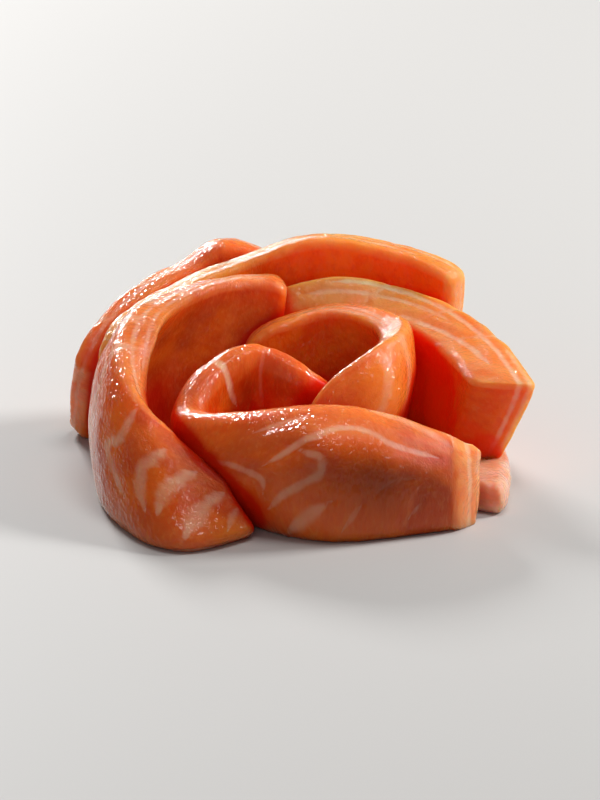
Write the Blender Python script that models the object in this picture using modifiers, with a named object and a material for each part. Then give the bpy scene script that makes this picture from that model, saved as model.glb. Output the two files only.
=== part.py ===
"""Salmon sashimi rose.

Thick slices of raw salmon stand on their long edges and wrap round each other
into an open flower. Each slice starts as a flat block with rounded edges, the way
it is cut from the fillet, and is then bent between two guide lines: its foot on
the board and its rim at the top. Where two slices touch, the later one gives way.
"""

import bpy
import bmesh
import numpy as np
from mathutils import Vector
from mathutils.bvhtree import BVHTree

MM = 0.001                      # one millimetre, in metres

# Driving dimensions, in millimetres
EDGE_ROUNDING = 2.0             # radius left by the knife along every edge of a slice
CORNER_LENGTH = 6.0             # stretch over which a slice narrows towards its ends
CORNER_WIDTH = 0.72             # width left at the very end, as a share of the full width
BIAS_REACH = 10.0               # stretch over which the flesh follows a slanting end cut
GRID_STEP = 3.7                 # spacing of the mesh along and across a slice
FOOT_SINK = 0.5                 # how far the soft foot is flattened by the board
CLEARANCE = 0.45                # gap kept between two slices that touch

FLESH_ROUGHNESS = 0.3

# Each slice, from the heart of the rose outwards. foot and rim are guide lines:
# points (x, y) on the board and (x, y, z) along the top edge, in millimetres.
# bow is how far the slice swells outwards between them, knee is how high up and
# how sharply it swells, and side is -1 where the points run clockwise. end_bias is
# how much shorter the outer face is than the inner one at the end (less than 0 where
# the inner one is shorter), and rim_bias is how much higher the outer face stands.
SLICES = {
    "heart_slice": dict(
        foot=[(-7.0, 5.0), (4.0, 9.0), (11.5, 0.5), (8.5, -12.5), (2.0, -18.5)],
        rim=[(-10.5, 9.5, 23.0), (5.5, 12.5, 27.0), (16.0, 4.0, 26.5), (12.0, -8.0, 25.0), (0.5, -14.0, 17.5)],
        bow=(0.0, 0.5, 2.0, 3.4, 1.5), thickness=(5.6, 5.6, 5.6, 5.0), knee=(0.70, 1.2), side=-1,
        colour=(0.86, 0.26, 0.07)),
    "front_slice": dict(
        foot=[(5.0, -5.0), (-2.0, -8.0), (-12.0, -5.0), (-18.0, -11.5), (-12.5, -20.5), (-4.5, -28.5),
              (3.5, -35.6), (14.0, -34.0), (24.0, -30.6), (33.0, -27.2)],
        rim=[(6.5, -5.0, 16.5), (0.5, -6.5, 21.8), (-8.5, -3.5, 25.0), (-17.0, -10.0, 22.5), (-20.5, -17.5, 18.0),
             (-12.0, -23.5, 18.5), (2.0, -23.5, 18.8), (14.0, -24.0, 17.6), (24.0, -26.0, 15.4), (32.5, -27.2, 13.8)],
        bow=(0.0, 0.0, 0.0, 0.0, 0.5, 3.0, 4.6, 3.8, 1.8, 0.2), thickness=(5.4, 5.6, 6.0, 6.6, 6.6, 5.2),
        knee=(0.60, 3.0), side=1, end_bias=5.8, colour=(0.80, 0.25, 0.07)),
    "left_slice": dict(
        foot=[(-8.5, -34.0), (-20.5, -41.5), (-29.5, -28.0), (-33.4, -11.5), (-31.5, 0.5), (-18.0, 7.0), (-6.0, 13.0)],
        rim=[(-14.5, -29.5, 7.0), (-23.5, -23.0, 13.0), (-28.3, -14.0, 19.5), (-29.0, -3.0, 26.0), (-25.5, 9.5, 28.6),
             (-14.5, 17.5, 30.6), (-3.0, 19.5, 30.5)],
        bow=(0.5, 1.0, 2.4, 3.2, 2.6, 0.6, 0.0), thickness=(6.4, 6.6), knee=(0.66, 1.5), side=-1,
        rim_bias=(0.0, -1.0, -3.0, -4.0, -2.0, 0.0, 1.0),
        colour=(0.83, 0.27, 0.08)),
    "right_under_slice": dict(
        foot=[(21.0, 13.0, 2.7), (20.0, 3.5, 2.7), (20.5, -7.0, 2.7), (24.5, -17.0, 2.7)],
        rim=[(33.0, 15.0, 2.7), (36.0, 5.0, 2.7), (37.0, -8.0, 2.7), (36.0, -23.0, 2.7)],
        bow=(0.0, 0.0), thickness=(5.6, 5.6), knee=(0.5, 1.0), side=-1,
        colour=(0.84, 0.30, 0.11)),
    "right_slice": dict(
        foot=[(1.0, 14.5), (8.0, 14.0, 1.0), (15.0, 11.5, 3.5), (22.0, 6.0, 6.0), (28.0, -2.5, 6.4), (31.5, -12.0, 6.4)],
        rim=[(-4.5, 19.0, 25.5), (7.0, 18.2, 27.8), (16.0, 15.5, 27.2), (25.0, 9.0, 25.5), (32.0, -0.5, 22.8),
             (37.2, -12.0, 19.0)],
        bow=(0.5, 0.5, 0.5), thickness=(4.6, 7.2, 8.6, 9.8, 10.4, 10.4), foot_share=0.8, knee=(0.5, 1.0), side=-1,
        end_bias=-4.5, rim_bias=(4.0, 4.5, 4.5, 4.5, 4.5, 5.0),
        colour=(0.88, 0.30, 0.08)),
    "back_slice": dict(
        foot=[(26.5, 19.5), (15.5, 23.5), (3.0, 25.0), (-10.0, 22.5), (-21.0, 18.0), (-30.5, 14.0), (-37.5, 6.5)],
        rim=[(29.0, 19.5, 31.6), (17.5, 25.5, 34.2), (3.5, 28.5, 35.6), (-10.0, 27.0, 32.0), (-22.5, 21.0, 28.5),
             (-31.5, 14.0, 25.5), (-36.5, 7.0, 21.5)],
        bow=(0.5, 0.5, 0.0, 0.0), thickness=(6.0, 5.8, 5.8, 5.6, 4.4), knee=(0.5, 1.0), side=1,
        colour=(0.90, 0.30, 0.07)),
    "back_left_slice": dict(
        foot=[(22.0, 31.5), (10.5, 33.5), (-2.0, 33.5), (-12.0, 32.0), (-20.0, 30.0), (-29.5, 25.5), (-37.0, 21.5),
              (-42.0, 18.0)],
        rim=[(21.5, 33.0, 17.0), (9.5, 36.0, 23.5), (-4.5, 35.5, 29.3), (-14.0, 33.5, 33.0), (-20.5, 30.5, 30.0),
             (-29.0, 24.0, 26.8), (-35.5, 16.0, 22.0), (-38.8, 10.0, 17.0)],
        bow=(0.5, 1.0, 0.8, 0.5), thickness=(5.6, 5.4), knee=(0.5, 1.0), side=1,
        colour=(0.84, 0.29, 0.10)),
}


def clear_scene():
    for obj in list(bpy.data.objects):
        bpy.data.objects.remove(obj, do_unlink=True)


def spline(points, t):
    """The smooth curve through evenly spaced points, at parameters t from 0 to 1."""
    points = np.asarray(points, float)
    last = len(points) - 1
    x = np.clip(t, 0.0, 1.0) * last
    i = np.minimum(x.astype(int), last - 1)
    f = (x - i)[:, None]
    padded = np.vstack([2 * points[0] - points[1], points, 2 * points[-1] - points[-2]])
    a, b, c, d = padded[i], padded[i + 1], padded[i + 2], padded[i + 3]
    return 0.5 * (2 * b + (c - a) * f + (2 * a - 5 * b + 4 * c - d) * f**2 + (3 * b - 3 * c + d - a) * f**3)


def spread(values, t):
    """A plain number that changes evenly along the slice."""
    return np.interp(t, np.linspace(0.0, 1.0, len(values)), values)


def smooth(x):
    x = np.clip(x, 0.0, 1.0)
    return x * x * (3 - 2 * x)


class Petal:
    """The middle surface of one bent slice. Lengths are in millimetres."""

    def __init__(self, foot, rim, bow, thickness, knee, side, colour, foot_share=1.0, end_bias=0.0,
                 rim_bias=(0.0, 0.0)):
        self.foot = np.array([(*point, -FOOT_SINK)[:3] for point in foot])
        self.rim = np.array(rim)
        self.bow = bow
        self.thickness = thickness
        self.foot_share = foot_share
        self.knee_height, self.knee_sharpness = knee
        self.side = side
        self.colour = colour
        self.end_bias = end_bias
        self.rim_bias = rim_bias
        middle = spline((self.foot + self.rim) / 2, np.linspace(0.0, 1.0, 200))
        steps = np.linalg.norm(np.diff(middle, axis=0), axis=1)
        self.run = np.concatenate([[0.0], np.cumsum(steps)])
        self.length = self.run[-1]
        self.width = np.linalg.norm(self.rim - self.foot, axis=1).mean()

    def narrowing(self, along):
        """How much of its full width the slice keeps at a distance along it."""
        from_end = np.minimum(along, self.length - along)
        inside_corner = np.clip(1.0 - from_end / CORNER_LENGTH, 0.0, 1.0)
        return CORNER_WIDTH + (1.0 - CORNER_WIDTH) * np.sqrt(1.0 - inside_corner**2)

    def surface(self, along, across):
        """Points of the middle surface, across the slice from foot (0) to rim (width)."""
        along = np.clip(along, 0.0, self.length)
        t = np.interp(along, self.run, np.linspace(0.0, 1.0, len(self.run)))
        v = 0.5 + (across / self.width - 0.5) * self.narrowing(along)
        step = 0.001
        foot = spline(self.foot, t)
        rim = spline(self.rim, t)
        heading = spline(self.foot + self.rim, np.minimum(t + step, 1.0))
        heading = heading - spline(self.foot + self.rim, np.maximum(t - step, 0.0))
        outward = np.cross(heading, rim - foot) * self.side
        outward /= np.linalg.norm(outward, axis=1)[:, None]
        knee = foot + (rim - foot) * self.knee_height + outward * 2 * spread(self.bow, t)[:, None]
        v = v[:, None]
        low, mid, high = (1 - v)**2, 2 * self.knee_sharpness * v * (1 - v), v**2
        return (low * foot + mid * knee + high * rim) / (low + mid + high)

    def bend(self, flat):
        """Carry points of the flat slice (along, across, through) onto the bent one."""
        along, across, through = flat.T
        outer = through * 2 / max(self.thickness)
        shorter = 0.5 + 0.5 * outer * np.sign(self.end_bias)
        across = across + 0.5 * outer * spread(self.rim_bias, along / self.length) * smooth(2 * across / self.width - 1)
        along = along - abs(self.end_bias) * shorter * smooth(1.0 - (self.length - along) / BIAS_REACH)
        step = 0.1
        on_surface = self.surface(along, across)
        lengthways = self.surface(along + step, across) - self.surface(along - step, across)
        crossways = self.surface(along, across + step) - self.surface(along, across - step)
        outward = np.cross(lengthways, crossways) * self.side
        outward /= np.linalg.norm(outward, axis=1)[:, None]
        share = spread(self.thickness, along / self.length) / max(self.thickness)
        share *= np.interp(across / self.width, (0.0, 1.0), (self.foot_share, 1.0))
        bent = on_surface + outward * (through * share)[:, None]
        bent[:, 2] = np.maximum(bent[:, 2], 0.0)
        return bent


def flat_slice(name, petal):
    """A flat slice with rounded edges, as cut: length along X, width along Y."""
    mesh = bpy.data.meshes.new(name)
    cells_along = round(petal.length / GRID_STEP)
    cells_across = round(petal.width / GRID_STEP)
    bm = bmesh.new()
    bmesh.ops.create_grid(bm, x_segments=cells_along, y_segments=cells_across, size=0.5)
    bmesh.ops.translate(bm, vec=(0.5, 0.5, 0.0), verts=bm.verts)
    bmesh.ops.scale(bm, vec=(petal.length, petal.width, 1.0), verts=bm.verts)
    bm.to_mesh(mesh)
    bm.free()
    obj = bpy.data.objects.new(name, mesh)
    bpy.context.scene.collection.objects.link(obj)
    solid = obj.modifiers.new("Thickness", "SOLIDIFY")
    solid.thickness = max(petal.thickness)
    solid.offset = 0.0
    edge = obj.modifiers.new("Rounded edges", "BEVEL")
    edge.width = EDGE_ROUNDING
    edge.segments = 3
    edge.limit_method = "ANGLE"
    edge.use_clamp_overlap = False
    return obj


def apply_modifiers(obj):
    depsgraph = bpy.context.evaluated_depsgraph_get()
    finished = bpy.data.meshes.new_from_object(obj.evaluated_get(depsgraph))
    obj.modifiers.clear()
    obj.data = finished


def read_points(mesh):
    points = np.empty(len(mesh.vertices) * 3)
    mesh.vertices.foreach_get("co", points)
    return points.reshape(-1, 3)


def write_points(mesh, points):
    mesh.vertices.foreach_set("co", points.ravel())
    mesh.update()


def give_way(obj, neighbours):
    """Press the slice back wherever it would run into a neighbour."""
    points = read_points(obj.data)
    for other in neighbours:
        tree = BVHTree.FromPolygons([v.co for v in other.data.vertices],
                                    [list(p.vertices) for p in other.data.polygons])
        for number, point in enumerate(points):
            spot, normal, _, distance = tree.find_nearest(Vector(point))
            inside = (Vector(point) - spot).dot(normal) < 0.0
            if inside or distance < CLEARANCE:
                points[number] = spot + normal * CLEARANCE
    points[:, 2] = np.maximum(points[:, 2], 0.0)
    write_points(obj.data, points)


def face_outwards(obj):
    bm = bmesh.new()
    bm.from_mesh(obj.data)
    bmesh.ops.recalc_face_normals(bm, faces=bm.faces)
    bm.to_mesh(obj.data)
    bm.free()


def flesh_material(name, colour):
    material = bpy.data.materials.new(name + "_flesh")
    material.use_nodes = True
    shader = material.node_tree.nodes["Principled BSDF"]
    shader.inputs["Base Color"].default_value = (*colour, 1.0)
    shader.inputs["Roughness"].default_value = FLESH_ROUGHNESS
    shader.inputs["Metallic"].default_value = 0.0
    return material


def make_slice(name, petal, neighbours, collection):
    obj = flat_slice(name, petal)
    apply_modifiers(obj)
    write_points(obj.data, petal.bend(read_points(obj.data)))
    face_outwards(obj)
    give_way(obj, neighbours)
    obj.data.materials.append(flesh_material(name, petal.colour))
    bpy.context.scene.collection.objects.unlink(obj)
    collection.objects.link(obj)
    return obj


def stand_on_origin(objects):
    """Move the rose so that its box stands centred on the origin, in metres."""
    everything = np.vstack([read_points(obj.data) for obj in objects])
    low, high = everything.min(axis=0), everything.max(axis=0)
    base = np.array([(low[0] + high[0]) / 2, (low[1] + high[1]) / 2, 0.0])
    for obj in objects:
        write_points(obj.data, (read_points(obj.data) - base) * MM)
    return base


clear_scene()
rose = bpy.data.collections.new("salmon_sashimi")
bpy.context.scene.collection.children.link(rose)
slices = []
for slice_name, shape in SLICES.items():
    slices.append(make_slice(slice_name, Petal(**shape), slices, rose))
rose_base = stand_on_origin(slices)
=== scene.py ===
"""A rose of salmon sashimi: seven thick raw slices stood on edge and wrapped round each other.

The sections follow the making of the rose, from the curl at its heart to the outermost slice, and
then the table and the lights. Lengths are in millimetres until a slice is placed.
"""

import math
from functools import partial

import bpy
import numpy as np
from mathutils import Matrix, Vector
from mathutils.bvhtree import BVHTree


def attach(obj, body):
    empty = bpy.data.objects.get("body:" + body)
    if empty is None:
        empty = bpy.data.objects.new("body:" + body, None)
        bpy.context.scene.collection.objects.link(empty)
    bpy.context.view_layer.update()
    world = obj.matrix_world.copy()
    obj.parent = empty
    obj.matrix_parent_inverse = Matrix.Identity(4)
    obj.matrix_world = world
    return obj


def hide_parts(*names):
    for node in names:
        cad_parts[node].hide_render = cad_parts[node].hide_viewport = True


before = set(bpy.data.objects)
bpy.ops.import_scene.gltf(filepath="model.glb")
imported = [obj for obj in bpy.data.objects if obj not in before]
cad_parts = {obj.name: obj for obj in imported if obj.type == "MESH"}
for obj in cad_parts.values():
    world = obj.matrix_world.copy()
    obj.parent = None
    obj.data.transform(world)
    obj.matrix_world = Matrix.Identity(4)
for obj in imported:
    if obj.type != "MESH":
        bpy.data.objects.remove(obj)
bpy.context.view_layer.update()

# ---------------------------------------------------------------------------------------------
# Heart slice. A short slice of raw salmon, curled round on itself to close the middle of the
# rose. Like every slice it was cut flat from the fillet with one pull of a knife, so its edges are
# crisp and its faces show sheets of fat between the muscle layers.
# ---------------------------------------------------------------------------------------------

def spline(points, t):
    """The smooth curve through evenly spaced points, at parameters t from 0 to 1."""
    points = np.asarray(points, float)
    last = len(points) - 1
    x = np.clip(t, 0.0, 1.0) * last
    i = np.minimum(x.astype(int), last - 1)
    f = (x - i)[:, None]
    padded = np.vstack([2 * points[0] - points[1], points, 2 * points[-1] - points[-2]])
    a, b, c, d = padded[i], padded[i + 1], padded[i + 2], padded[i + 3]
    return 0.5 * (2 * b + (c - a) * f + (2 * a - 5 * b + 4 * c - d) * f**2
                  + (3 * b - 3 * c + d - a) * f**3)


def spread(values, t):
    """A plain number that changes evenly along the slice."""
    return np.interp(t, np.linspace(0.0, 1.0, len(values)), values)


def smooth(x):
    """Rises softly from 0 to 1 as x does."""
    x = np.clip(x, 0.0, 1.0)
    return x * x * (3 - 2 * x)


FOOT_SINK = 0.5              # a foot line runs this far under the board, so that the foot sits flat
EDGE_RADIUS = 1.3            # rounding left along a cut edge
LENGTH_SAMPLES = 400         # points at which the way along a slice is measured


class Petal:
    """One bent slice: foot and rim are its guide lines on the board and along its top edge.

    bow is how far the slice swells outwards between the two, and knee is how high up and how
    sharply. side is -1 where the points run clockwise. foot_share is the foot's share of the
    thickness. corner is how long the end corners are and the share of the width they keep.
    end_bias is how much shorter the outer face is at the end than the inner one (less than 0
    where the inner one is shorter), over end_reach. rim_bias is how much higher the outer face
    stands, and edge is the rounding of the cut edges.
    """

    def __init__(self, foot, rim, bow, thickness, knee, side, foot_share=1.0, corner=(6.0, 0.72),
                 end_bias=0.0, end_reach=12.0, rim_bias=(0.0, 0.0), edge=EDGE_RADIUS):
        self.foot = np.array([(*point, -FOOT_SINK)[:3] for point in foot])
        self.rim = np.array(rim)
        self.bow, self.thickness, self.foot_share = bow, thickness, foot_share
        self.knee_height, self.knee_sharpness = knee
        self.side, self.edge = side, edge
        self.corner_length, self.corner_width = corner
        self.end_bias, self.end_reach, self.rim_bias = end_bias, end_reach, rim_bias
        middle = spline((self.foot + self.rim) / 2, np.linspace(0.0, 1.0, LENGTH_SAMPLES))
        steps = np.linalg.norm(np.diff(middle, axis=0), axis=1)
        self.run = np.concatenate([[0.0], np.cumsum(steps)])
        self.length = self.run[-1]
        self.width = np.linalg.norm(self.rim - self.foot, axis=1).mean()

    def narrowing(self, along):
        """How much of its full width the slice keeps at a distance along it."""
        from_end = np.minimum(along, self.length - along)
        inside_corner = np.clip(1.0 - from_end / self.corner_length, 0.0, 1.0)
        return self.corner_width + (1.0 - self.corner_width) * np.sqrt(1.0 - inside_corner**2)

    def surface(self, along, across):
        """Points of the middle surface, across the slice from foot (0) to rim (width)."""
        along = np.clip(along, 0.0, self.length)
        t = np.interp(along, self.run, np.linspace(0.0, 1.0, len(self.run)))
        v = 0.5 + (across / self.width - 0.5) * self.narrowing(along)
        step = 0.001             # as a share of the slice's length
        foot, rim = spline(self.foot, t), spline(self.rim, t)
        heading = spline(self.foot + self.rim, np.minimum(t + step, 1.0))
        heading = heading - spline(self.foot + self.rim, np.maximum(t - step, 0.0))
        outward = np.cross(heading, rim - foot) * self.side
        outward /= np.linalg.norm(outward, axis=1)[:, None]
        height = spread(np.atleast_1d(self.knee_height), t)[:, None]
        knee = foot + (rim - foot) * height + outward * 2 * spread(self.bow, t)[:, None]
        v = v[:, None]
        low, mid, high = (1 - v)**2, 2 * self.knee_sharpness * v * (1 - v), v**2
        return (low * foot + mid * knee + high * rim) / (low + mid + high)

    def bend(self, along, across, through):
        """Carries points of the flat slice onto the bent one. through runs from INNER to OUTER."""
        shorter = 0.5 + 0.5 * through * np.sign(self.end_bias)
        near_rim = smooth((across / self.width - 0.5) / 0.5)
        near_end = smooth(1.0 - (self.length - along) / self.end_reach)
        across = across + 0.5 * through * spread(self.rim_bias, along / self.length) * near_rim
        along = along - abs(self.end_bias) * shorter * near_end
        step = 0.1               # millimetres
        on_surface = self.surface(along, across)
        a = np.clip(along, step, self.length - step)
        lengthways = self.surface(a + step, across) - self.surface(a - step, across)
        crossways = self.surface(along, across + step) - self.surface(along, across - step)
        outward = np.cross(lengthways, crossways) * self.side
        outward /= np.linalg.norm(outward, axis=1)[:, None] + 1e-9
        half_thickness = spread(self.thickness, along / self.length) / 2
        half_thickness *= np.interp(across / self.width, (0.0, 1.0), (self.foot_share, 1.0))
        return on_surface + outward * (through * half_thickness)[:, None]


MESH_STEP = 0.45             # spacing of the mesh points on a face
FEWEST_EDGE_STEPS = 6        # least number of points round a cut edge
ROUNDING_SAMPLES = 60        # points at which the way round a cut edge is measured
EDGE_SLANT = 0.15            # how far a cut face leans out between its two edges


def edge_rows(length, half_thickness, radius):
    """Rows of points from one cut edge to the other, and the share of the thickness at each."""
    turn = np.linspace(0.0, math.pi / 2, ROUNDING_SAMPLES)
    wall = half_thickness - radius
    inset = np.concatenate([[0.0], EDGE_SLANT + radius * (1.0 - np.cos(turn))])
    height = np.concatenate([[0.0], wall + radius * np.sin(turn)]) / half_thickness
    steps = np.hypot(np.diff(inset), np.diff(height) * half_thickness)
    run = np.concatenate([[0.0], np.cumsum(steps)])
    at = np.linspace(0.0, run[-1], max(FEWEST_EDGE_STEPS, round(run[-1] / MESH_STEP)) + 1)
    inset, height = np.interp(at, run, inset), np.interp(at, run, height)
    first = inset[-1]
    face_steps = max(2, round((length - 2 * first) / MESH_STEP))
    flat = np.linspace(first, length - first, face_steps + 1)[1:-1]
    return (np.concatenate([inset, flat, length - inset[::-1]]),
            np.concatenate([height, np.ones(len(flat)), height[::-1]]))


def flat_block(petal):
    """Points (along, across, through) and faces of the flat slice, closed all round."""
    half_thickness = max(petal.thickness) / 2
    along, rise_along = edge_rows(petal.length, half_thickness, petal.edge)
    across, rise_across = edge_rows(petal.width, half_thickness, petal.edge)
    rows, columns = len(along), len(across)
    grid_along, grid_across = np.meshgrid(along, across, indexing="ij")
    through = rise_along[:, None] * rise_across[None, :]
    outer = np.arange(rows * columns).reshape(rows, columns)
    inner = outer.copy()
    inside = np.zeros((rows, columns), bool)
    inside[1:-1, 1:-1] = True
    inner[inside] = rows * columns + np.arange(inside.sum())
    points = np.vstack([np.stack([grid_along, grid_across, through], -1).reshape(-1, 3),
                        np.stack([grid_along[inside], grid_across[inside], -through[inside]], -1)])
    this, following = slice(None, -1), slice(1, None)
    corners = (this, this), (following, this), (following, following), (this, following)
    front = np.stack([outer[c] for c in corners], -1).reshape(-1, 4)
    back = np.stack([inner[c] for c in corners[::-1]], -1).reshape(-1, 4)
    faces = np.vstack([front, back])
    return points, faces if petal.side > 0 else faces[:, ::-1]


BOX_MARGIN = 1.0
WET_GAP = 0.12               # film of moisture between two slices that touch
DEEPEST_PRESS = 9.0          # how deep in a neighbour a point can be and still find its way out
PRESS_ROUNDS = 5             # how often a slice settles against its neighbours
SOFTENING_ROUNDS = 10        # how far the flesh next to a pressed point gives way with it


def mesh_tree(points, faces):
    """What is needed to feel where a slice is: its surface, and its box with a little to spare."""
    tree = BVHTree.FromPolygons([tuple(p) for p in points], [tuple(f) for f in faces.tolist()])
    return tree, points.min(axis=0) - BOX_MARGIN, points.max(axis=0) + BOX_MARGIN


def neighbour_average(values, faces, weights):
    """Each point's value averaged with the points next to it."""
    total = np.zeros_like(values)
    for k in range(4):
        np.add.at(total, faces[:, k], values[faces[:, k - 1]] + values[faces[:, (k + 1) % 4]])
    return total / weights[:, None]


def press_apart(points, faces, finished):
    """Soft flesh gives way where it would run into a slice that is already in place."""
    weights = np.bincount(faces.ravel(), minlength=len(points)) * 2.0
    for attempt in range(PRESS_ROUNDS):
        push = np.zeros_like(points)
        for tree, low, high in finished:
            for k in np.nonzero(((points > low) & (points < high)).all(axis=1))[0]:
                spot, normal, _, distance = tree.find_nearest(points[k], DEEPEST_PRESS)
                if spot is None:
                    continue
                inside = (Vector(points[k]) - spot).dot(normal) < 0.0
                if inside or distance < WET_GAP:
                    push[k] = np.array(spot + normal * WET_GAP) - points[k]
        if attempt < PRESS_ROUNDS - 1:
            spread_push = push.copy()
            for _ in range(SOFTENING_ROUNDS):
                spread_push = neighbour_average(spread_push, faces, weights)
                stronger = np.linalg.norm(push, axis=1) > np.linalg.norm(spread_push, axis=1)
                spread_push[stronger] = 0.5 * (push + spread_push)[stronger]
            push = spread_push
        points = points + push
    return points


OUTER, CUT, INNER = 1, 0, -1     # where a sheet of fat shows: outer face, cut edges, inner face
FAR_FROM_FAT = 9.0           # in half widths of a sheet
LINE_STEPS = 12              # for each point that a sheet's curve is given by
TAPER = 3.0                  # a sheet of fat thins out over this length at its ends
THINNEST_END = 0.25          # what is left of its width there
SHOW_THROUGH = 0.4           # how far round the edge a sheet keeps its strength
FAR_FACE_SHARE = 0.05        # what shows of it on the other face


def fat_curves(points, petal, sheets):
    """How far each point is from the nearest sheet of fat, in half widths, and how fatty it is.

    A sheet is a curve, its half width, its strength, how much it slants through the slice, and
    where it shows: a curve of (along, across) on the OUTER or INNER face, or a curve of (along,
    depth) on the CUT edges.
    """
    along, across, through = points.T
    half = spread(petal.thickness, along / petal.length) / 2
    nearest, share = np.full(len(points), FAR_FROM_FAT), np.zeros(len(points))
    weight = np.full(len(points), 1e-6)
    for curve, half_width, strength, slant, face in sheets:
        line = spline(curve, np.linspace(0.0, 1.0, LINE_STEPS * len(curve)))
        if face == CUT:
            at = np.stack([along, through * half], -1)
        else:
            at = np.stack([along - slant * (through - face) * half, across], -1)
            near_face = smooth(SHOW_THROUGH + through * face)
            strength = strength * (FAR_FACE_SHARE + (1.0 - FAR_FACE_SHARE) * near_face)
        relative = np.full(len(points), FAR_FROM_FAT)
        run = np.concatenate([[0.0], np.cumsum(np.linalg.norm(np.diff(line, axis=0), axis=1))])
        for start, end, run_start in zip(line[:-1], line[1:], run):
            step = end - start
            f = np.clip(((at - start) @ step) / (step @ step + 1e-12), 0.0, 1.0)
            distance = np.linalg.norm(at - start - f[:, None] * step, axis=1)
            from_end = run_start + f * np.linalg.norm(step)
            from_end = np.minimum(from_end, run[-1] - from_end)
            width_left = THINNEST_END + (1.0 - THINNEST_END) * smooth(from_end / TAPER)
            relative = np.minimum(relative, distance / (half_width * width_left))
        nearest = np.minimum(nearest, relative)
        closeness = np.exp(-0.5 * relative**2) + 1e-9
        share += closeness * strength
        weight += closeness
    return nearest, share / weight


def add_node(tree, kind, inputs=None, output=0, **settings):
    """Adds a node with its settings, fills or links its inputs, and returns one of its outputs."""
    node = tree.nodes.new(kind)
    for key, value in settings.items():
        setattr(node, key, value)
    for key, value in (inputs or {}).items():
        if isinstance(value, bpy.types.NodeSocket):
            tree.links.new(value, node.inputs[key])
        else:
            node.inputs[key].default_value = value
    return node.outputs[output] if node.outputs else None


def hex_colour(code):
    """An sRGB hex colour as linear RGBA."""
    parts = [int(code[i:i + 2], 16) / 255 for i in (1, 3, 5)]
    linear = [p / 12.92 if p <= 0.04045 else ((p + 0.055) / 1.055) ** 2.4 for p in parts]
    return (*linear, 1.0)


def make_relief_tree():
    """Relief of cut flesh, in millimetres: the fat lies in grooves, the muscle between swells up,
    and the cut face ripples and bulges. A real fibre is 0.1 mm across, too fine to show, so the
    ripples are 1.8 mm long.
    """
    tree = bpy.data.node_groups.new("flesh relief", "GeometryNodeTree")
    new = tree.interface.new_socket
    new("Geometry", in_out="INPUT", socket_type="NodeSocketGeometry")
    for label, value in (("Groove Depth", 0.10), ("Muscle Swell", 0.22), ("Ripple Height", 0.12),
                         ("Ripple Size", 1.8), ("Lump Height", 0.5), ("Lump Size", 9.0)):
        new(label, in_out="INPUT", socket_type="NodeSocketFloat").default_value = value
    new("Seed", in_out="INPUT", socket_type="NodeSocketInt").default_value = 1
    new("Flesh", in_out="INPUT", socket_type="NodeSocketMaterial")
    new("Geometry", in_out="OUTPUT", socket_type="NodeSocketGeometry")
    given = tree.nodes.new("NodeGroupInput").outputs
    add = partial(add_node, tree)

    flat, sheet, fat_share = [
        add("GeometryNodeInputNamedAttribute", {"Name": label}, "Attribute", data_type=kind)
        for label, kind in (("flat", "FLOAT_VECTOR"), ("sheet", "FLOAT"), ("fat_share", "FLOAT"))]

    # How far a point is from the fat is told in half widths of the sheet.
    near = add("ShaderNodeMapRange", {"Value": sheet, "From Min": 0.2, "From Max": 1.8,
                                      "To Min": 1.0, "To Max": 0.0},
               interpolation_type="SMOOTHSTEP")
    groove = add("ShaderNodeMath", {0: near, 1: fat_share}, operation="MULTIPLY")
    groove = add("ShaderNodeMath", {0: groove, 1: given["Groove Depth"]}, operation="MULTIPLY")
    away = add("ShaderNodeMapRange", {"Value": sheet, "From Min": 0.5, "From Max": 6.0,
                                      "To Min": 0.0, "To Max": 1.0},
               interpolation_type="SMOOTHSTEP")
    swell = add("ShaderNodeMath", {0: away, 1: given["Muscle Swell"]}, operation="MULTIPLY")

    # Noise about zero, which rises and sinks by the ripple's or the lump's height.
    uneven = []
    for label, detail, seed_shift in (("Ripple", 2.0, 3.7), ("Lump", 1.0, 7.9)):
        per_mm = add("ShaderNodeMath", {0: 1.0, 1: given[label + " Size"]}, operation="DIVIDE")
        scaled = add("ShaderNodeVectorMath", {0: flat, "Scale": per_mm}, operation="SCALE")
        place = add("ShaderNodeMath", {0: given["Seed"], 1: seed_shift}, operation="MULTIPLY")
        noise = add("ShaderNodeTexNoise", {"Vector": scaled, "W": place, "Scale": 1.0,
                                           "Detail": detail}, "Fac", noise_dimensions="4D")
        noise = add("ShaderNodeMath", {0: noise, 1: 0.5}, operation="SUBTRACT")
        noise = add("ShaderNodeMath", {0: noise, 1: 2.0}, operation="MULTIPLY")
        uneven.append(add("ShaderNodeMath", {0: noise, 1: given[label + " Height"]},
                          operation="MULTIPLY"))

    rise = add("ShaderNodeMath", {0: uneven[0], 1: uneven[1]}, operation="ADD")
    rise = add("ShaderNodeMath", {0: rise, 1: swell}, operation="ADD")
    rise = add("ShaderNodeMath", {0: rise, 1: groove}, operation="SUBTRACT")
    normal = add("GeometryNodeInputNormal")
    offset = add("ShaderNodeVectorMath", {0: normal, "Scale": rise}, operation="SCALE")
    moved = add("GeometryNodeSetPosition", {"Geometry": given["Geometry"], "Offset": offset})
    real = add("GeometryNodeRealizeInstances", {"Geometry": moved})
    dressed = add("GeometryNodeSetMaterial", {"Geometry": real, "Material": given["Flesh"]})
    add("NodeGroupOutput", {"Geometry": dressed})
    return tree


FLESH_RELIEF = make_relief_tree()
MM = 0.001

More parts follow.
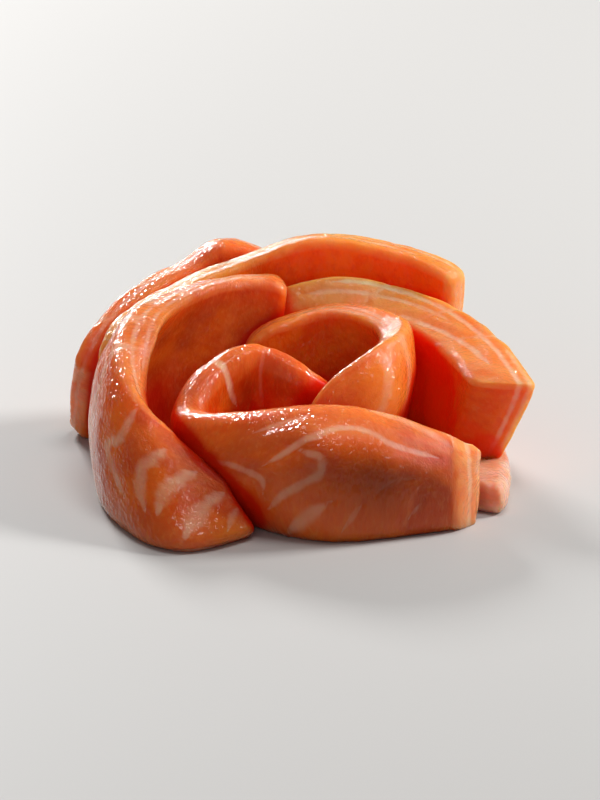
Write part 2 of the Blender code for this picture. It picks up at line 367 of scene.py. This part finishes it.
# Patterns in the flesh: patches per millimetre, turn in radians, detail, roughness and place of the
# noise. Muscle fibres and beads of moisture, 0.1 to 0.2 mm across, are too fine to show, so the
# fibres are drawn as bundles of about 1 mm and the beads 0.8 mm wide.
FLESH_PATTERNS = {
    "drifts": ((0.11, 0.11, 0.11), 0.0, 2.0, 0.5, (0.0, 0.0, 0.0)),   # 9 mm, deeper muscle
    "bundles": ((1.5, 0.9, 1.5), 0.5, 3.0, 0.6, (0.0, 0.0, 0.0)),     # 1 mm, of muscle fibres
    "flecks": ((0.45, 0.45, 0.45), 0.0, 3.0, 0.7, (3.0, 5.0, 2.0)),   # 2 mm, redder muscle
    "film": ((0.35, 0.35, 0.35), 0.0, 3.0, 0.6, (1.0, 9.0, 4.0)),     # 3 mm, on a cut face
    "wander": ((0.55, 0.55, 0.55), 0.0, 3.0, 0.5, (0.0, 0.0, 0.0)),   # 2 mm, of the fat's edge
    "breaks": ((0.4, 0.4, 0.4), 0.0, 2.0, 0.5, (7.0, 3.0, 1.0)),      # 2.5 mm, in the fat
    "beads": ((1.3, 1.3, 1.3), 0.0, 1.0, 0.5, (0.0, 0.0, 0.0)),       # 0.8 mm, of moisture
}
WANDER = 1.5                 # in half widths of a sheet of fat


def raw_salmon(name, lean="#F77E18", deep="#EE620E", film="#F49A56", painted_gap_shade="#D81E02", lit_to=0.06,
               reach=1.0):
    """Raw salmon, fresh from the knife: translucent orange muscle, cream fat, and a wet film.

    Light goes in and comes out a few millimetres on, red the farthest, which softens the shading
    and makes thin edges glow. The thin film of moisture gives small bright sparkles. lit_to is
    how shut in a face can be before it takes on the painted shade between slices, a deep red, and
    reach lengthens the way of the light for a slice that is lit from behind.
    """
    material = bpy.data.materials.new(name)
    material.use_nodes = True
    tree = material.node_tree
    tree.nodes.clear()
    add = partial(add_node, tree)

    flat = add("ShaderNodeAttribute", output="Vector", attribute_name="flat")
    sheet, fat_share, pale, dark, shut_in = [
        add("ShaderNodeAttribute", output="Fac", attribute_name=label)
        for label in ("sheet", "fat_share", "pale", "dark", "shut_in")]
    noise = {}
    for label, (per_mm, turn, detail, roughness, place) in FLESH_PATTERNS.items():
        placed = add("ShaderNodeMapping", {"Vector": flat, "Location": place,
                                           "Rotation": (0.0, 0.0, turn), "Scale": per_mm})
        noise[label] = add("ShaderNodeTexNoise", {"Vector": placed, "Scale": 1.0, "Detail": detail,
                                                  "Roughness": roughness}, "Fac")
    wander = add("ShaderNodeMath", {0: noise["wander"], 1: 0.5}, operation="SUBTRACT")
    wander = add("ShaderNodeMath", {0: wander, 1: WANDER}, operation="MULTIPLY")
    from_fat = add("ShaderNodeMath", {0: sheet, 1: wander}, operation="ADD")

    # Each share rises or falls softly between two levels of what it follows.
    share = {}
    for label, value, low, high, at_low, at_high in (
            ("deep", noise["drifts"], 0.38, 0.62, 0.0, 1.0),
            ("bundles", noise["bundles"], 0.45, 0.80, 0.0, 0.25),
            ("flecks", noise["flecks"], 0.45, 0.70, 0.0, 0.35),
            ("film", noise["film"], 0.30, 0.65, 0.45, 1.0),
            ("fat", from_fat, 0.3, 1.7, 1.0, 0.0),
            ("unbroken", noise["breaks"], 0.3, 0.6, 0.65, 1.0),
            ("shade", shut_in, lit_to, 0.40, 0.0, 0.97)):
        share[label] = add("ShaderNodeMapRange",
                           {"Value": value, "From Min": low, "From Max": high, "To Min": at_low,
                            "To Max": at_high}, interpolation_type="SMOOTHSTEP")
    # pale brings in the film colour: a real film on the skin side and the fatty side, and painted
    # light on lit rims, bands and ends.
    film_and_painted_light_here = add("ShaderNodeMath", {0: pale, 1: share["film"]}, operation="MULTIPLY")
    fat_here = add("ShaderNodeMath", {0: share["fat"], 1: fat_share}, operation="MULTIPLY")
    fat_here = add("ShaderNodeMath", {0: fat_here, 1: share["unbroken"]}, operation="MULTIPLY")

    # The colours lie over one another: muscle, its fibre bundles and red flecks, the pale film (a
    # real film on the skin side, and painted light on lit rims, bands and ends), cream fat, a patch
    # of painted shade, and the painted shade between slices, a deep red where light would come only
    # through flesh.
    colour = hex_colour(lean)
    for laid_on, code in ((share["deep"], deep), (share["bundles"], "#F8A050"),
                          (share["flecks"], "#DC4A08"), (film_and_painted_light_here, film), (fat_here, "#F6C8A4"),
                          (dark, "#7E2608"), (share["shade"], painted_gap_shade)):
        colour = add("ShaderNodeMix", {0: laid_on, 6: colour, 7: hex_colour(code)}, 2,
                     data_type="RGBA")

    # Deep between two slices there is little for the moisture to mirror.
    dulled = add("ShaderNodeMath", {0: share["shade"], 1: 0.8}, operation="MULTIPLY")
    wet = add("ShaderNodeMath", {0: 1.0, 1: dulled}, operation="SUBTRACT")
    fat_roughness = add("ShaderNodeMath", {0: fat_here, 1: 0.08}, operation="MULTIPLY")
    roughness = add("ShaderNodeMath", {0: 0.34, 1: fat_roughness}, operation="ADD")
    fibre_bump = add("ShaderNodeBump", {"Strength": 1.0, "Distance": 0.12 * MM,
                                        "Height": noise["bundles"]})
    bead_bump = add("ShaderNodeBump", {"Strength": 1.0, "Distance": 0.52 * MM,
                                       "Height": noise["beads"]})
    shader = add("ShaderNodeBsdfPrincipled", {
        "Base Color": colour,
        "Roughness": roughness,
        "IOR": 1.33,                           # flesh is mostly water
        "Specular IOR Level": 0.12,            # the moisture over it mirrors instead
        "Subsurface Weight": 0.85,
        "Subsurface Radius": (7.0, 2.6, 0.7),  # millimetres that red, green and blue go
        "Subsurface Scale": reach * MM,
        "Normal": fibre_bump,
        "Coat Weight": wet,
        "Coat Roughness": 0.05,
        "Coat IOR": 1.34,                      # moisture with a little fat and protein in it
        "Coat Normal": bead_bump,
    }, subsurface_method="RANDOM_WALK")
    add("ShaderNodeOutputMaterial", {"Surface": shader})
    return material


ROSE_CENTRE = np.array([-0.95, -1.87, 0.0])    # middle of the rose, where its guide lines are drawn
slices_in_place = []


def finish_slice(name, petal, sheets, flesh, pale, seed, dark=None):
    """Bends the flat slice, lets it settle against its neighbours, and gives it its relief.

    pale says where, from 0 to 1, the flesh is paler, by a real film or by painted light, and dark
    says where it has a patch of painted shade.
    """
    flat, faces = flat_block(petal)
    points = petal.bend(*flat.T)
    points[:, 2] = np.maximum(points[:, 2], 0.0)
    points = press_apart(points, faces, slices_in_place)
    mesh = bpy.data.meshes.new(name)
    mesh.from_pydata(points.tolist(), [], faces.tolist())
    half = spread(petal.thickness, flat[:, 0] / petal.length) / 2
    sheet, share = fat_curves(flat, petal, sheets)
    in_flat_mm = np.stack([flat[:, 0], flat[:, 1], flat[:, 2] * half], -1)
    placed = mesh.attributes.new("flat", "FLOAT_VECTOR", "POINT")
    placed.data.foreach_set("vector", in_flat_mm.ravel())
    painted = {"sheet": sheet, "fat_share": share, "pale": np.clip(pale(*flat.T), 0.0, 1.0),
               "dark": dark(*flat.T) if dark else np.zeros(len(flat))}
    for label, values in painted.items():
        mesh.attributes.new(label, "FLOAT", "POINT").data.foreach_set("value", values)
    mesh.polygons.foreach_set("use_smooth", [True] * len(mesh.polygons))
    piece = bpy.data.objects.new(name, mesh)
    bpy.context.scene.collection.objects.link(piece)
    modifier = piece.modifiers.new("Flesh relief", "NODES")
    modifier.node_group = FLESH_RELIEF
    sockets = {item.name: item.identifier for item in FLESH_RELIEF.interface.items_tree
               if item.in_out == "INPUT"}
    modifier[sockets["Seed"]] = seed
    modifier[sockets["Flesh"]] = flesh
    depsgraph = bpy.context.evaluated_depsgraph_get()
    shaped = bpy.data.meshes.new_from_object(piece.evaluated_get(depsgraph))
    piece.modifiers.clear()
    piece.data = shaped
    shaped.name = name
    points = np.empty(len(shaped.vertices) * 3)
    shaped.vertices.foreach_get("co", points)
    points = points.reshape(-1, 3)
    points[:, 2] = np.maximum(points[:, 2], 0.0)
    slices_in_place.append(mesh_tree(points, faces))
    shaped.vertices.foreach_set("co", ((points - ROSE_CENTRE) * MM).ravel())
    shaped.update()
    return piece


heart = Petal(
    foot=[(-7.0, 5.0), (4.0, 9.0), (11.5, 0.5), (8.5, -12.5), (2.0, -18.5)],
    rim=[(-10.5, 9.5, 23.0), (5.5, 12.5, 27.0), (16.0, 4.0, 26.5), (12.0, -8.0, 25.0),
         (0.5, -14.0, 17.5)],
    bow=(0.0, 0.5, 2.0, 3.4, 1.5), thickness=(5.6, 5.6, 5.6, 5.0),
    knee=((0.60, 0.60, 0.75, 0.78, 0.6), 1.2), side=-1)

CUT_FACE = 1.6               # how much of the flat slice, from its edge in, belongs to a cut face


def heart_painted_light(along, across, through):
    """Painted light: the rim is paler, and so is the outside of the end that curls in, where the
    lamps fall on them.
    """
    curled_in = 0.25 * smooth((along - 26) / 8) * smooth(through + 0.5)
    return 0.35 * (across > heart.width - CUT_FACE) + curled_in


heart_piece = finish_slice(
    "heart_curl", heart,
    [([(34, 26), (35, 18), (36, 9), (36, 0)], 0.9, 0.30, 0.3, OUTER),
     ([(40, 24), (41, 16), (43, 8), (44, 0)], 0.5, 0.30, 0.3, OUTER),
     ([(2, 0.6), (15, 0.2), (28, -0.4), (40, 0.4)], 0.35, 0.45, 0.0, CUT),
     ([(12, -1.6), (22, -1.4), (32, -1.2)], 0.3, 0.40, 0.0, CUT)],
    raw_salmon("heart salmon flesh"), pale=heart_painted_light, seed=1)
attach(heart_piece, "root")
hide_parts("heart_slice")

# ---------------------------------------------------------------------------------------------
# Front slice. The longest slice of raw salmon: it crosses the front of the rose, folds back on
# itself at the left and runs into the heart. Its top is rolled inwards, and its right end was cut
# at a slant.
# ---------------------------------------------------------------------------------------------

front = Petal(
    foot=[(5.0, -5.0), (-2.0, -8.0), (-12.0, -5.0), (-18.0, -11.5), (-12.5, -20.5),
          (-4.5, -28.5), (3.5, -35.6), (14.0, -34.0), (24.0, -30.6), (33.0, -27.2)],
    rim=[(6.5, -5.0, 16.5), (0.5, -6.5, 21.8), (-8.5, -3.5, 25.0), (-17.0, -10.0, 22.5),
         (-20.5, -17.5, 18.0), (-12.0, -23.5, 18.5), (2.0, -23.5, 18.8), (14.0, -24.0, 17.6),
         (24.0, -26.0, 15.4), (32.5, -27.2, 13.8)],
    bow=(0.0, 0.0, 0.0, 0.0, 0.5, 3.0, 4.6, 3.8, 1.8, 0.2),
    thickness=(5.4, 5.6, 6.0, 6.6, 6.6, 5.0),
    knee=((0.56, 0.56, 0.56, 0.56, 0.60, 0.64, 0.68, 0.70, 0.75, 0.8), 3.0), side=1,
    corner=(3.0, 0.90), end_bias=5.8, end_reach=10.0, edge=1.9)


def front_painted_light(along, across, through):
    """Painted light: the band rolled over the top, the freshly cut end and the rim are paler, where
    the lamps fall on them.
    """
    band = 0.30 * smooth((across - 11.5) / 2.5) * smooth((along - 45) / 15) * smooth(through + 0.5)
    cut_end = 0.70 * smooth((along - front.length + 10.0) / 9.5)
    return band + cut_end + 0.25 * (across > front.width - CUT_FACE)


def front_painted_shade(along, across, through):
    """Painted shade: a darker patch low in the middle of the outer face, which faces down, away
    from the lamps.
    """
    patch = np.exp(-((along - 69.0) / 12.0)**2 - ((across - 5.0) / 4.5)**2)
    return 0.75 * patch * (through > 0.0)


front_piece = finish_slice(
    "front_fold", front,
    [([(51, 16.3), (55, 16.8), (59, 17.5)], 0.35, 0.35, 0.3, OUTER),
     ([(53, 9.3), (56, 10.3), (59, 12.0), (62, 14.2), (65, 14.6), (68.5, 13.4), (72, 12.0),
       (79, 12.5)], 0.55, 0.60, 0.3, OUTER),
     ([(57.5, 10.8), (59.8, 8.8), (60.2, 6.8), (59.2, 5.0), (55, 3.6), (52, 2.4)],
      0.5, 0.50, 0.3, OUTER),
     ([(45, 14.0), (47, 12.6), (49.5, 10.6), (52.3, 6.8), (52.0, 4.2)], 0.45, 0.45, 0.3, OUTER),
     ([(54.5, 0.6), (58, 1.4), (61.5, 2.6)], 0.45, 0.45, 0.3, OUTER),
     ([(63, 0.6), (66, 2.4)], 0.4, 0.35, 0.3, OUTER),
     ([(74, 1.2), (76.5, 2.8)], 0.4, 0.35, 0.3, OUTER),
     ([(68, 3.4), (71, 5.0), (75, 6.2)], 0.35, 0.20, 0.3, OUTER),
     # Painted highlight: this pale sheet along the ridge of the top band stands in for the bright
     # line that light makes there.
     ([(67, 19.4), (74, 18.8), (80, 18.0), (86, 16.8)], 0.7, 0.45, 0.3, OUTER),
     ([(27.0, 24), (25.3, 20), (23.6, 17), (21.6, 13)], 0.50, 0.95, 0.0, INNER),
     ([(16, 24), (15, 18), (13, 12)], 0.4, 0.25, 0.0, INNER),
     ([(6, 24), (6, 16), (5, 8)], 0.4, 0.25, 0.0, INNER),
     ([(80, 0.9), (100, 0.9)], 0.35, 0.5, 0.0, CUT),
     ([(80, -1.2), (100, -1.2)], 0.3, 0.4, 0.0, CUT)],
    # Painted shade: this slice's flesh is a darker, browner copy of the salmon colours, as its
    # faces turn away from the lamps.
    raw_salmon("front salmon flesh", lean="#EC6A14", deep="#D24E0C"), pale=front_painted_light, seed=2,
    dark=front_painted_shade)
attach(front_piece, "root")
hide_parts("front_slice")

# ---------------------------------------------------------------------------------------------
# Left slice. Raw salmon from the belly: it stands up behind the fold and wraps round the left
# side, with broad pale stripes of fat on its outer face.
# ---------------------------------------------------------------------------------------------

CHEVRON_SLANT = 0.6          # how much the sheets between muscle blocks slant through a slice
CHEVRON_SWAY, CHEVRON_STEP = 0.9, 2.3    # mm of sway, and radians of it from one to the next


def chevrons(petal, first, last, spacing, reach, apex, half_width=0.5, strength=0.7):
    """A family of V-shaped sheets of fat on the outer face, as between a fillet's muscle blocks."""
    sheets = []
    number = max(1, round((last - first) / spacing))
    for k in range(number + 1):
        at = first + (last - first) * k / number
        curve = [(at + reach * (abs(c - apex) * 2) ** 1.4
                  + CHEVRON_SWAY * math.sin(5 * c + CHEVRON_STEP * k), c * petal.width)
                 for c in np.linspace(-0.05, 1.05, 7)]
        sheets.append((curve, half_width, strength, CHEVRON_SLANT, OUTER))
    return sheets


left = Petal(
    foot=[(-8.5, -34.0), (-20.5, -41.5), (-29.5, -28.0), (-33.4, -11.5), (-31.5, 0.5),
          (-18.0, 7.0), (-6.0, 13.0)],
    rim=[(-14.5, -29.5, 7.0), (-23.5, -23.0, 13.0), (-28.3, -14.0, 19.5), (-29.0, -3.0, 26.0),
         (-25.5, 9.5, 28.6), (-14.5, 17.5, 30.6), (-3.0, 19.5, 30.5)],
    bow=(0.5, 1.0, 2.4, 3.2, 2.6, 0.6, 0.0), thickness=(6.4, 6.6), knee=(0.66, 1.5), side=-1,
    corner=(4.0, 0.85), rim_bias=(0.0, -1.0, -3.0, -4.0, -2.0, 0.0, 1.0))


def left_paleness(along, across, through):
    """Painted light: the rim is paler where the lamps fall on it. The outer face also grows paler
    towards its foot.
    """
    low_outside = 0.20 * smooth((6 - across) / 6) * smooth(through + 0.5)
    return 0.45 * (across > left.width - CUT_FACE) + low_outside


left_piece = finish_slice(
    "left_wrap", left,
    [([(21, 24), (21.5, 18), (22.5, 14.5), (25.5, 11.5), (23.5, 8.5), (20.5, 5)],
      0.9, 0.50, 0.5, OUTER),
     ([(12.5, 19), (14.5, 14.5), (16, 11.5), (16.5, 8), (15.5, 4)], 0.95, 0.50, 0.5, OUTER),
     ([(7.5, 17), (10.5, 12), (12.5, 8), (13.5, 4)], 0.95, 0.50, 0.5, OUTER),
     ([(3, 13), (6.5, 8), (9, 4), (10.5, 1)], 1.0, 0.45, 0.5, OUTER),
     ([(1.2, 8), (3.5, 4.5), (5, 1.5)], 0.6, 0.40, 0.5, OUTER),
     ([(2, 1.0), (20, 1.2), (40, 0.8), (60, 0.4), (76, 0.6)], 0.35, 0.45, 0.0, CUT),
     ([(30, -1.4), (45, -1.2), (60, -1.4), (76, -0.8)], 0.3, 0.40, 0.0, CUT)]
    + chevrons(left, 34, 70, 7.5, 5.0, 0.5, half_width=1.0, strength=0.4),
    # Painted shade: this slice's flesh is a darker, browner copy of the salmon colours, as its
    # faces turn away from the lamps; its painted shade between slices is a darker red.
    raw_salmon("left salmon flesh", lean="#EC6A14", deep="#D24E0C", painted_gap_shade="#C41602", reach=1.3),
    pale=left_paleness, seed=3)
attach(left_piece, "root")
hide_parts("left_slice")

# ---------------------------------------------------------------------------------------------
# Slice under the right side. A slice of raw salmon that lies flat on the board, with its fatty,
# pale side up. The right slice rests on it, and only a corner shows.
# ---------------------------------------------------------------------------------------------

right_under = Petal(
    foot=[(21.0, 13.0, 2.7), (20.0, 3.5, 2.7), (20.5, -7.0, 2.7), (25.0, -20.0, 2.7)],
    rim=[(33.0, 15.0, 2.7), (36.0, 5.0, 2.7), (37.2, -9.0, 2.7), (36.2, -25.0, 2.7)],
    bow=(0.0, 0.0), thickness=(5.6, 5.6), knee=(0.5, 1.0), side=-1, edge=2.2)


def right_under_paleness(along, across, through):
    """The film of fat covers all of it."""
    return np.full(len(along), 0.85)


right_under_piece = finish_slice(
    "right_under_strip", right_under, chevrons(right_under, 3, 28, 7.0, 3.0, 0.4, strength=0.4),
    raw_salmon("under salmon flesh", film="#E6B8A0", painted_gap_shade="#D88A64"),
    pale=right_under_paleness, seed=4)
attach(right_under_piece, "root")
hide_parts("right_under_slice")

# ---------------------------------------------------------------------------------------------
# Right slice. The thickest slice of raw salmon: it leans outwards on the flat slice, and its end
# was cut straight down, so the end face shows the layers of muscle and fat.
# ---------------------------------------------------------------------------------------------

right = Petal(
    foot=[(1.0, 14.5), (8.0, 14.0, 1.0), (15.0, 11.5, 3.5), (22.0, 6.0, 6.0), (28.0, -2.5, 6.4),
          (31.5, -12.0, 6.4)],
    rim=[(-4.5, 19.0, 25.5), (7.0, 18.2, 27.8), (16.0, 15.5, 27.2), (25.0, 9.0, 25.5),
         (32.0, -0.5, 22.8), (37.2, -12.0, 19.0)],
    bow=(0.5, 0.5, 0.5), thickness=(4.2, 7.2, 8.6, 9.8, 10.4, 10.4), foot_share=0.8,
    knee=(0.5, 1.0), side=-1, corner=(2.0, 0.95), end_bias=-4.5,
    rim_bias=(4.0, 4.5, 4.5, 4.5, 4.5, 5.0))


def right_painted_light(along, across, through):
    """Painted light: the broad rim is paler, and so is the outer margin of the end face, where the
    lamps fall on them.
    """
    end_margin = 0.7 * (along > right.length - CUT_FACE) * smooth((through - 0.35) / 0.5)
    return 0.75 * (across > right.width - CUT_FACE) + end_margin


right_piece = finish_slice(
    "right_block", right,
    [([(8, 2.0), (18, 2.6), (28, 2.6), (38, 2.4), (60, 2.2)], 0.40, 0.75, 0.0, CUT),
     ([(4, 0.4), (12, 0.2), (20, 0.6), (30, 1.0)], 0.35, 0.55, 0.0, CUT),
     ([(20, -2.6), (28, -2.2), (36, -1.2), (44, -0.4)], 0.45, 0.70, 0.0, CUT),
     ([(40, 4.0), (60, 4.0)], 0.4, 0.55, 0.0, CUT)]
    + chevrons(right, 14, 34, 9.0, 4.0, 0.5, strength=0.35),
    # Painted light: this slice's flesh is a slightly brighter copy of the salmon colours, and its
    # painted shade between slices a brighter red, as light comes through it.
    raw_salmon("right salmon flesh", lean="#FA7E18", deep="#F06410", painted_gap_shade="#FF3406", reach=1.5),
    pale=right_painted_light, seed=5)
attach(right_piece, "root")
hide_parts("right_slice")

# ---------------------------------------------------------------------------------------------
# Back slice. The tallest slice of raw salmon, standing behind the heart. Light from behind comes
# through it, so its inner face glows orange: partly by the light's longer way through the flesh,
# and partly by painted light, a brighter and yellower flesh colour.
# ---------------------------------------------------------------------------------------------

back = Petal(
    foot=[(26.5, 19.5), (15.5, 23.5), (3.0, 25.0), (-10.0, 22.5), (-21.0, 18.0), (-29.5, 13.5),
          (-36.0, 5.0)],
    rim=[(29.0, 19.5, 31.6), (17.5, 25.5, 34.2), (3.5, 28.5, 35.6), (-10.0, 27.0, 32.0),
         (-22.5, 21.0, 28.5), (-31.0, 13.0, 25.5), (-35.0, 5.0, 21.5)],
    bow=(0.5, 0.5, 0.0, 0.0), thickness=(6.0, 5.8, 5.8, 5.6, 3.6), knee=(0.5, 1.0), side=1,
    corner=(4.0, 0.85))


def back_painted_light(along, across, through):
    """Painted light: the rim is paler, and the near end paler still, where the lamps fall on them.
    """
    return 0.55 * (across > back.width - CUT_FACE) + 0.8 * (along < CUT_FACE)


back_piece = finish_slice(
    "back_wall", back,
    [([(0, 1.2), (16, 0.8), (32, 1.2), (48, 1.0), (64, 0.6)], 0.40, 0.60, 0.0, CUT),
     ([(8, -1.0), (24, -0.8), (40, -1.4), (56, -0.8)], 0.35, 0.50, 0.0, CUT)]
    + chevrons(back, 10, 58, 9.0, 5.0, 0.5, strength=0.4),
    # Painted light: this slice's flesh is a brighter, yellower copy of the salmon colours, and the
    # painted shade between slices starts later on it, as light comes through it from behind.
    raw_salmon("back salmon flesh", lean="#FF881A", deep="#FF7410", painted_gap_shade="#E82A04", lit_to=0.14,
               reach=2.2),
    pale=back_painted_light, seed=6)
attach(back_piece, "root")
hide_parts("back_slice")

# ---------------------------------------------------------------------------------------------
# Outermost slice. Raw salmon from next to the skin, so that a pale film lies over its outer side.
# It goes round the back and the left and holds the others up.
# ---------------------------------------------------------------------------------------------

back_left = Petal(
    foot=[(22.0, 31.5), (10.5, 33.5), (-2.0, 33.5), (-12.0, 32.0), (-20.0, 30.0), (-29.5, 25.5),
          (-37.0, 21.5), (-42.0, 18.0)],
    rim=[(21.5, 33.0, 17.0), (9.5, 36.0, 23.5), (-4.5, 35.5, 29.3), (-14.0, 33.5, 33.0),
         (-20.5, 30.5, 30.0), (-29.0, 24.0, 26.8), (-35.5, 16.0, 22.0), (-38.8, 10.0, 17.0)],
    bow=(0.5, 1.0, 0.8, 0.5), thickness=(5.6, 5.4), knee=(0.5, 1.0), side=1)


def back_left_paleness(along, across, through):
    """The film lies over all of it, and thickest on the outer side."""
    return 0.35 + 0.35 * smooth(through + 0.5)


back_left_piece = finish_slice(
    "back_left_wrap", back_left,
    [([(0, 0.8), (20, 0.6), (40, 0.9), (60, 0.6), (76, 0.8)], 0.35, 0.45, 0.0, CUT)]
    + chevrons(back_left, 6, 68, 8.5, 5.0, 0.5, half_width=0.8, strength=0.45),
    raw_salmon("skin side salmon flesh", film="#E0844E"), pale=back_left_paleness, seed=7)
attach(back_left_piece, "root")
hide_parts("back_left_slice")

# ---------------------------------------------------------------------------------------------
# Between the slices: painted shade. Light would get down there only through the flesh, so the
# faces that stand close to another slice are painted a deep red. Each point feels how shut in it
# is.

FEELER_START = 0.3           # a feeler starts this far off the surface
FEELER_REACH = 22.0          # a wall farther off than this shuts nothing in
FEELER_TILT = math.radians(50.0)
FEELERS_ROUND = 6            # tilted feelers round the straight one
SHADE_SOFTENING = 4          # rounds of averaging with the points next to it
ODD_DIRECTION = (0.31, 0.17, 0.93)       # not square to any face, to set the feelers round it
# Light from above reaches the rims, so what shuts a point in counts more the lower it lies.
OPEN_HEIGHT, OPEN_FADE = 34.0, 14.0
LEAST_SHADE, MOST_SHADE = 0.3, 1.5


def values_of(piece, kind):
    """The positions or the normals of a piece's points."""
    values = np.empty(len(piece.data.vertices) * 3)
    piece.data.vertices.foreach_get(kind, values)
    return values.reshape(-1, 3)


def corners_of(piece):
    """Which four points each face of a piece has."""
    values = np.empty(len(piece.data.polygons) * 4, int)
    piece.data.loops.foreach_get("vertex_index", values)
    return values.reshape(-1, 4)


all_pieces = [heart_piece, front_piece, left_piece, right_under_piece, right_piece, back_piece,
              back_left_piece]
all_points, all_corners, so_far = [], [], 0
for piece in all_pieces:
    all_points.append(values_of(piece, "co") / MM)
    all_corners.append(corners_of(piece) + so_far)
    so_far += len(all_points[-1])
whole_rose = mesh_tree(np.vstack(all_points), np.vstack(all_corners))[0]
feelers = [(0.0, 0.0)] + [(FEELER_TILT, k * 2 * math.pi / FEELERS_ROUND)
                          for k in range(FEELERS_ROUND)]

for piece, points in zip(all_pieces, all_points):
    normals = values_of(piece, "normal")
    sideways = np.cross(normals, ODD_DIRECTION)
    sideways /= np.linalg.norm(sideways, axis=1)[:, None] + 1e-9
    third = np.cross(normals, sideways)
    starts = points + FEELER_START * normals
    shut_in, total = np.zeros(len(points)), 0.0
    for tilt, turn in feelers:
        round_it = sideways * math.cos(turn) + third * math.sin(turn)
        ways = normals * math.cos(tilt) + math.sin(tilt) * round_it
        total += math.cos(tilt)
        for k, (start, way) in enumerate(zip(starts, ways)):
            distance = whole_rose.ray_cast(start, way, FEELER_REACH)[3]
            if distance is not None:
                shut_in[k] += math.cos(tilt) * (1.0 - distance / FEELER_REACH)
    corners = corners_of(piece)
    neighbours = np.bincount(corners.ravel(), minlength=len(points)) * 2.0
    from_above = np.clip((OPEN_HEIGHT - points[:, 2]) / OPEN_FADE, LEAST_SHADE, MOST_SHADE)
    shut_in = (shut_in / total * from_above)[:, None]
    for _ in range(SHADE_SOFTENING):
        shut_in = neighbour_average(shut_in, corners, neighbours)
    felt = piece.data.attributes.new("shut_in", "FLOAT", "POINT")
    felt.data.foreach_set("value", shut_in.ravel())

# ---------------------------------------------------------------------------------------------
# Table top. A round board painted in a plain pale colour, flat and matt, so that it gives soft
# shadows and mirrors nothing. The rose stands on its middle.
# ---------------------------------------------------------------------------------------------

TABLE_RADIUS = 2.6           # metres, from here on
TABLE_CORNERS = 64

table_mesh = bpy.data.meshes.new("pale_table")
rim_points = [(TABLE_RADIUS * math.cos(a), TABLE_RADIUS * math.sin(a), 0.0)
              for a in np.linspace(0, 2 * math.pi, TABLE_CORNERS + 1)[:-1]]
table_mesh.from_pydata(rim_points, [], [list(range(TABLE_CORNERS))])
table = bpy.data.objects.new("pale_table", table_mesh)
bpy.context.scene.collection.objects.link(table)
paint = bpy.data.materials.new("pale matt paint")
paint.use_nodes = True
paint_shader = paint.node_tree.nodes["Principled BSDF"]
paint_shader.inputs["Base Color"].default_value = hex_colour("#C3C1BE")
paint_shader.inputs["Roughness"].default_value = 0.6
table_mesh.materials.append(paint)

# ---------------------------------------------------------------------------------------------
# Studio. Of four round soft boxes, one behind at the left and one beside at the right make the wet
# rims sparkle, a broad one above lights the rose, and a weak one in front fills the shadows. The
# camera looks down at a slant, from far off.
# ---------------------------------------------------------------------------------------------

ROSE_MIDDLE = Vector((0.0006, -0.0003, 0.014))
AIR_BRIGHTNESS = 0.16
ELEVATION, DISTANCE = math.radians(20.0), 0.85
LENS_MM, SENSOR_MM = 212.0, 36.0


def soft_box(name, place, size, watts):
    """A white disc light, turned to the middle of the rose."""
    lamp = bpy.data.lights.new(name, "AREA")
    lamp.shape = "DISK"
    lamp.size, lamp.energy = size, watts
    obj = bpy.data.objects.new(name, lamp)
    bpy.context.scene.collection.objects.link(obj)
    obj.location = place
    obj.rotation_euler = (ROSE_MIDDLE - Vector(place)).to_track_quat("-Z", "Y").to_euler()


soft_box("box behind left", (-0.28, 0.72, 0.38), 0.20, 4.8)
soft_box("box beside right", (0.60, 0.16, 0.44), 0.18, 4.8)
soft_box("box above", (0.16, -0.02, 0.88), 0.40, 2.7)
soft_box("box in front", (-0.20, -0.85, 0.60), 0.60, 0.7)
world = bpy.data.worlds.new("studio air")
world.use_nodes = True
air = world.node_tree.nodes["Background"]
air.inputs["Color"].default_value = hex_colour("#D9D9DC")
air.inputs["Strength"].default_value = AIR_BRIGHTNESS
bpy.context.scene.world = world
bpy.context.scene.view_settings.view_transform = "Standard"

camera = bpy.data.cameras.new("camera")
camera.lens, camera.sensor_width = LENS_MM, SENSOR_MM
camera_object = bpy.data.objects.new("camera", camera)
bpy.context.scene.collection.objects.link(camera_object)
camera_object.location = (ROSE_MIDDLE.x, ROSE_MIDDLE.y - DISTANCE * math.cos(ELEVATION),
                          DISTANCE * math.sin(ELEVATION))
to_rose = ROSE_MIDDLE - camera_object.location
camera_object.rotation_euler = to_rose.to_track_quat("-Z", "Y").to_euler()
bpy.context.scene.camera = camera_object
